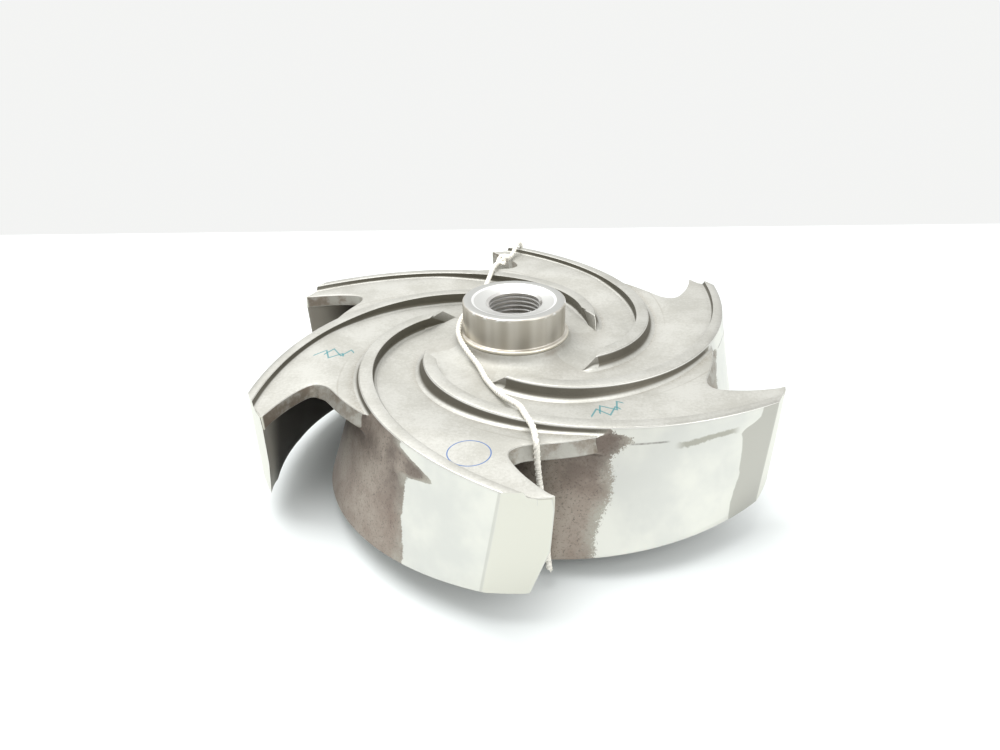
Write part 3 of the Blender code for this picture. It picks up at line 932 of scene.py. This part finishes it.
def make_plate():
    """Rings from the hub's lip out over the plate, round its edge and back in below."""
    sector = sector_outline()
    toe_index = len(sector) - OUTLINE_BLADE_STEPS + 1
    outline, boss_turns = [], []
    for index in range(VANE_COUNT):
        for i, (radius, angle) in enumerate(sector):
            outline.append(polar(radius, angle + index * PITCH, 0.0))
            boss_turns.append(TIP_ANGLE_TOP + BOSS_SWIRL + PITCH * (index + i / len(sector)))
    flares = [wall_flare(radius, math.degrees(angle)) if i < toe_index else 0.0
              for i, (radius, angle) in enumerate(sector)] * VANE_COUNT
    corner_index = OUTLINE_RIM_STEPS + CORNER_POINT * SCALLOP_STEPS
    corners = [outline[corner_index + i * len(sector)] for i in range(VANE_COUNT)]
    inwards = []
    for i, point in enumerate(outline):
        along = outline[(i + 1) % len(outline)] - outline[i - 1]
        to_corner = min((point - corner).length for corner in corners)
        narrowed = mix(CORNER_INSET, 1.0, smooth(to_corner / CORNER_REACH))
        inwards.append(Vector((-along.y, along.x, 0.0)).normalized() * narrowed)
    rows, surface = [], []

    def add_ring(share, inset, end_radius, height_at, flared=0.0):
        ring, values = [], []
        for point, inward, boss_turn, flare in zip(outline, inwards, boss_turns, flares):
            edge = point + inward * (inset - flare * flared)
            edge_turn = math.atan2(edge.y, edge.x) + wrap_of(edge.xy.length)
            edge_turn += 2 * math.pi * round((boss_turn - edge_turn) / (2 * math.pi))
            turn = mix(edge_turn, boss_turn, SWIRL_EASED * smooth(share) + SWIRL_EVEN * share)
            radius = mix(edge.xy.length, end_radius, share)
            ring.append(polar(radius, turn - wrap_of(radius), height_at(radius)))
            values.append(((turn - TIP_ANGLE_TOP) / PITCH, radius))
        rows.append(ring + [ring[0]])
        surface.append(values + [(values[0][0] + VANE_COUNT, values[0][1])])

    for radius, rise in reversed(BOSS_FILLET):
        add_ring(1.0, 0.0, radius, lambda r: DISH_TOP_Z + rise)
    for i in range(1, PLATE_RINGS + 1):
        add_ring(1.0 - i / (PLATE_RINGS + 1), PLATE_EDGE_ROUND, BOSS_EDGE_RADIUS, plate_top_z)
    for start, side, flared, level_at in ((90, 1.0, 0.0, plate_top_z), (0, -1.0, 1.0, plate_under_z)):
        for c, s in arc(4, start, start - 90):
            lift = PLATE_EDGE_ROUND * (s - side)
            add_ring(0.0, PLATE_EDGE_ROUND * (1.0 - c), BOSS_EDGE_RADIUS,
                     lambda r: level_at(r) + lift, flared)
    for i in range(1, UNDER_RINGS + 1):
        add_ring(i / UNDER_RINGS, PLATE_EDGE_ROUND, HUB_CLEAR_RADIUS, plate_under_z, 1.0)
    rows.append(rows[0])
    surface.append(surface[0])
    plate = shaped_grid("back_plate", rows, surface)
    nodes = ["back_plate_disc"] + [f"back_plate_arm_{i}" for i in range(1, VANE_COUNT + 1)]
    seat(plate, plate_finish(), "cast_stainless", *nodes)


HUB_STEPS = 144
HUB_RADIUS = 0.0356
LIP_RADIUS = 0.0384
BORE_RADIUS = 0.0192
MOUTH_RADIUS = 0.0285
MOUTH_DEPTH = 0.0024
FOOT_CORNER = 0.0008
FOOT_CORNER_Z = 0.0938
LIP_ROUND = 0.0014
LIP_Z = 0.0916
BORE_FLOOR = (0.0, 0.0460), (BORE_RADIUS, 0.0500)
# Radius and height of the hub's outside from under the lip down to the nose
HUB_UNDER = (
    (0.0362, 0.0900), (0.0355, 0.0880), (0.0350, 0.0650), (0.0342, 0.0580), (0.0322, 0.0500),
    (0.0290, 0.0420), (0.0250, 0.0355), (0.0205, 0.0315), (0.0160, 0.0302), (0.0080, NOSE_Z),
    (0.0, NOSE_Z),
)
THREAD_PITCH = 0.003175
THREAD_GAP = 0.0001
THREAD_SINK = 0.0002
THREAD_CREST_HALF = 0.0003
THREAD_CREST_RADIUS = 0.01745
THREAD_TURNS = 13
THREAD_STEPS = 120


def make_hub():
    """Turned profile, from the bore's floor up, over the top and down to the nose."""
    mouth_z = HUB_TOP_Z - MOUTH_DEPTH
    profile = [
        *BORE_FLOOR, (BORE_RADIUS, mouth_z - 0.0006),
        (BORE_RADIUS + 0.0003, mouth_z), (MOUTH_RADIUS - 0.0006, HUB_TOP_Z - 0.0007),
        (MOUTH_RADIUS - 0.0001, HUB_TOP_Z - 0.0003), (MOUTH_RADIUS + 0.0005, HUB_TOP_Z),
        (HUB_RADIUS - 0.0011, HUB_TOP_Z), (HUB_RADIUS - 0.0005, HUB_TOP_Z - 0.0002),
        (HUB_RADIUS - 0.0001, HUB_TOP_Z - 0.0006), (HUB_RADIUS, HUB_TOP_Z - 0.0012),
    ]
    for c, s in arc(4, 180, 270):
        profile.append((HUB_RADIUS + FOOT_CORNER * (1 + c), FOOT_CORNER_Z + FOOT_CORNER * s))
    for c, s in arc(6, 80, -90):
        profile.append((LIP_RADIUS - LIP_ROUND + LIP_ROUND * c, LIP_Z + LIP_ROUND * s))
    profile += HUB_UNDER
    mesh = bmesh.new()
    verts = [mesh.verts.new((radius, 0.0, z)) for radius, z in profile]
    edges = [mesh.edges.new(pair) for pair in zip(verts, verts[1:])]
    bmesh.ops.spin(mesh, geom=verts + edges, cent=(0, 0, 0), axis=(0, 0, 1), dvec=(0, 0, 0),
                   angle=2 * math.pi, steps=HUB_STEPS, use_merge=True)
    bmesh.ops.remove_doubles(mesh, verts=mesh.verts, dist=0.000005)
    hub = finished_object("hub_turned", mesh, 40.0)
    seat(hub, turned_finish(), "machined_stainless", "hub")


def make_thread():
    """Internal thread: a vee ridge swept down the bore."""
    mesh = bmesh.new()
    start_z = HUB_TOP_Z - MOUTH_DEPTH + 0.0002
    half = 0.5 * THREAD_PITCH - THREAD_GAP
    section = [(BORE_RADIUS + THREAD_SINK, half), (THREAD_CREST_RADIUS, THREAD_CREST_HALF),
               (THREAD_CREST_RADIUS, -THREAD_CREST_HALF), (BORE_RADIUS + THREAD_SINK, -half)]
    verts = [mesh.verts.new((radius, 0.0, start_z + z)) for radius, z in section]
    edges = [mesh.edges.new((verts[i], verts[(i + 1) % 4])) for i in range(4)]
    bmesh.ops.spin(mesh, geom=verts + edges, cent=(0, 0, 0), axis=(0, 0, 1),
                   dvec=(0, 0, -THREAD_PITCH / THREAD_STEPS), angle=2 * math.pi * THREAD_TURNS,
                   steps=THREAD_STEPS * THREAD_TURNS)
    bmesh.ops.holes_fill(mesh, edges=mesh.edges, sides=4)
    thread = finished_object("bore_thread", mesh, 20.0)
    seat(thread, thread_finish(), "machined_stainless")


TWINE_DIAMETER = 0.0032
TWINE_FULLNESS = 0.56
TWINE_LAY = 0.0095
TWINE_LOBE = 0.12
# Route of the twine: radius, plan angle in degrees, height
TWINE_FRONT = (
    (0.1536, 277.4, 0.0130), (0.1500, 277.0, 0.0250), (0.1462, 276.5, 0.0400), (0.1430, 276.0, 0.0560),
    (0.1405, 275.4, 0.0700), (0.1392, 275.1, 0.0790), (0.1387, 275.0, 0.0845), (0.1380, 274.9, 0.0882),
    (0.1358, 274.8, 0.0903), (0.1300, 274.6, 0.0928), (0.1240, 274.0, 0.0936), (0.1150, 272.9, 0.0936),
    (0.1065, 271.9, 0.0928), (0.1000, 270.6, 0.0910), (0.0930, 269.0, 0.0886), (0.0855, 266.6, 0.0862),
    (0.0765, 262.4, 0.0848), (0.0622, 253.6, 0.0846), (0.0492, 241.5, 0.0862), (0.0428, 222.0, 0.0900),
    (0.0405, 202.0, 0.0935), (0.0386, 185.0, 0.0958), (0.0378, 165.0, 0.0972), (0.0400, 142.0, 0.0972),
    (0.0530, 120.0, 0.0950), (0.0800, 106.5, 0.0935), (0.1060, 100.6, 0.0931), (0.1200, 98.6, 0.0931),
    (0.1330, 96.8, 0.0915), (0.1440, 95.6, 0.0890),
)
TWINE_TAIL = (
    (0.1530, 92.2, 0.0890), (0.1615, 90.6, 0.0905), (0.1720, 89.4, 0.0940), (0.1795, 88.6, 0.0955),
    (0.1842, 88.0, 0.0925), (0.1850, 87.8, 0.0850), (0.1848, 87.6, 0.0700), (0.1848, 87.3, 0.0560),
)
KNOT_SCALE = 0.0025
KNOT_HEIGHT = 0.0019
KNOT_STEPS = 16
# Range of the knot curve's parameter, and the fullness of its cord
KNOT_SPAN = 1.9
KNOT_FULLNESS = 0.92
FRAY_STRANDS = 7
FRAY_LENGTH = 0.0028
FRAY_HEADING = Vector((0.75, 0.0, -0.4))


def twine_path(points, spacing=0.0009):
    fine = [Vector(p) for p in eased_curve(points, 16)]
    path, walked = [fine[0]], 0.0
    for start, end in zip(fine, fine[1:]):
        walked += (end - start).length
        if walked >= spacing:
            path.append(end)
            walked = 0.0
    if (fine[-1] - path[-1]).length < 0.5 * spacing:
        path.pop()
    path.append(fine[-1])
    return path


def route_path(route):
    return twine_path([tuple(polar(radius, math.radians(angle), z)) for radius, angle, z in route])


def twisted_tube(name, path, radius, sides=18):
    """Three-strand cord: the section has three lobes that turn along the path."""
    rows = []
    side = Vector((0.0, 0.3, 1.0))
    walked = 0.0
    for i, centre in enumerate(path):
        before, after = path[max(i - 1, 0)], path[min(i + 1, len(path) - 1)]
        along = (after - before).normalized()
        side = (side - along * side.dot(along)).normalized()
        across = along.cross(side)
        if i:
            walked += (centre - path[i - 1]).length
        ring = []
        for k in range(sides):
            angle = 2 * math.pi * k / sides
            reach = radius * (1.0 + TWINE_LOBE * math.cos(3 * angle))
            turned = angle + 2 * math.pi * walked / TWINE_LAY
            ring.append(centre + reach * (side * math.cos(turned) + across * math.sin(turned)))
        rows.append(ring + [ring[0]])
    rows.insert(0, [path[0]] * (sides + 1))
    rows.append([path[-1]] * (sides + 1))
    return shaped_grid(name, rows)


def knot_path(start, end):
    """Overhand knot lying on the plate between two cord ends."""
    middle = 0.5 * (start + end)
    forward = (end - start).normalized()
    aside = forward.cross(Vector((0.0, 0.0, 1.0)))
    points = [tuple(start)]
    for i in range(KNOT_STEPS + 1):
        t = mix(-KNOT_SPAN, KNOT_SPAN, i / KNOT_STEPS)
        across = (t ** 3 - 3 * t) * KNOT_SCALE
        down = (t ** 4 - 4 * t * t + 2.0) * KNOT_SCALE * 0.8
        layer = math.tanh(2.0 * (t ** 5 / 5 - 2 * t)) * KNOT_HEIGHT
        points.append(tuple(middle + forward * across - aside * down
                            + Vector((0.0, 0.0, layer + KNOT_HEIGHT))))
    points.append(tuple(end))
    return twine_path(points, 0.0006)


def frayed_end(name, start, along, cotton):
    """Loose strands that fan out of a cut end."""
    spread = random.Random(7)
    mesh = bmesh.new()
    for _ in range(FRAY_STRANDS):
        lean = Vector((spread.uniform(-0.6, 0.6), spread.uniform(-0.6, 0.6),
                       spread.uniform(-0.5, 0.4)))
        heading = (along + lean).normalized()
        turn = heading.to_track_quat("Z", "Y").to_matrix().to_4x4()
        place = Matrix.Translation(start + heading * 0.4 * FRAY_LENGTH) @ turn
        bmesh.ops.create_cone(mesh, cap_ends=True, segments=8, radius1=0.0005, radius2=0.0002,
                              depth=FRAY_LENGTH * spread.uniform(0.7, 1.2), matrix=place)
    return seat(finished_object(name, mesh), cotton, "cotton_twine")


def make_twine():
    cotton = cotton_finish()
    radius = TWINE_FULLNESS * TWINE_DIAMETER
    front = route_path(TWINE_FRONT)
    tail = route_path(TWINE_TAIL)
    string = seat(twisted_tube("twine_string", front, radius), cotton, "cotton_twine", "twine")
    loose = seat(twisted_tube("twine_loose_end", tail, radius), cotton, "cotton_twine", "twine_tail")
    knot_tube = twisted_tube("twine_overhand_knot", knot_path(front[-1], tail[0]),
                             radius * KNOT_FULLNESS)
    knot = seat(knot_tube, cotton, "cotton_twine", "twine_knot")
    fray = frayed_end("twine_frayed_end", front[0], FRAY_HEADING, cotton)
    tail_fray = frayed_end("twine_tail_fray", tail[-1], Vector((0.0, 0.0, -1.0)), cotton)


CAMERA_PLACE = Vector((0.0, -0.45894, 0.30674))
CAMERA_PITCH = math.radians(28.7232)
CAMERA_YAW = math.radians(-1.28246)
CAMERA_ROLL = math.radians(-0.74255)
CAMERA_LENS = 25.85
SENSOR_WIDTH = 36.0


def make_camera():
    ahead = Vector((math.sin(CAMERA_YAW) * math.cos(CAMERA_PITCH),
                    math.cos(CAMERA_YAW) * math.cos(CAMERA_PITCH), -math.sin(CAMERA_PITCH)))
    level = Vector((math.cos(CAMERA_YAW), -math.sin(CAMERA_YAW), 0.0))
    above = level.cross(ahead)
    right = level * math.cos(CAMERA_ROLL) + above * math.sin(CAMERA_ROLL)
    up = above * math.cos(CAMERA_ROLL) - level * math.sin(CAMERA_ROLL)
    data = bpy.data.cameras.new("camera")
    data.lens = CAMERA_LENS
    data.sensor_width = SENSOR_WIDTH
    camera = linked_object("camera", data)
    turn = Matrix((right, up, -ahead)).transposed().to_4x4()
    camera.matrix_world = Matrix.Translation(CAMERA_PLACE) @ turn
    bpy.context.scene.camera = camera


FLOOR_BACK_Y = 0.528
FLOOR_REACH = 6.0
FLOOR_TURN = math.radians(1.0)
STUDIO_STRENGTH = 0.97
# Name, place, size and power
LAMPS = (
    ("overhead", (-0.35, 0.15, 1.5), 1.3, 26.0),
    ("side_fill", (1.2, -0.9, 1.0), 0.9, 7.0),
)


def make_floor():
    """Pale table top whose back edge stands in front of a plain wall."""
    mesh = bmesh.new()
    bmesh.ops.create_grid(mesh, x_segments=1, y_segments=1, size=FLOOR_REACH)
    bmesh.ops.translate(mesh, verts=mesh.verts, vec=(0.0, FLOOR_BACK_Y - FLOOR_REACH, 0.0))
    bmesh.ops.rotate(mesh, verts=mesh.verts, cent=(0.0, FLOOR_BACK_Y, 0.0),
                     matrix=Matrix.Rotation(FLOOR_TURN, 3, "Z"))
    floor = finished_object("floor", mesh)
    finish = Finish("pale_table", 0.0, 0.5)
    finish.paint(TABLE_PALE)
    floor.data.materials.append(finish.material)


def make_light():
    world = bpy.data.worlds.new("studio")
    world.use_nodes = True
    tree = world.node_tree
    background = tree.nodes["Background"]
    background.inputs["Color"].default_value = STUDIO_WHITE
    background.inputs["Strength"].default_value = STUDIO_STRENGTH
    bpy.context.scene.world = world
    for name, place, size, power in LAMPS:
        data = bpy.data.lights.new(name, "AREA")
        data.size = size
        data.energy = power
        lamp = linked_object(name, data)
        lamp.location = place
        lamp.rotation_euler = (-Vector(place)).to_track_quat("-Z", "Y").to_euler()
    bpy.context.scene.view_settings.view_transform = "Standard"


make_camera()
make_twine()
for blade_index in range(VANE_COUNT):
    make_blade(blade_index)
make_plate()
make_hub()
make_thread()
make_floor()
make_light()
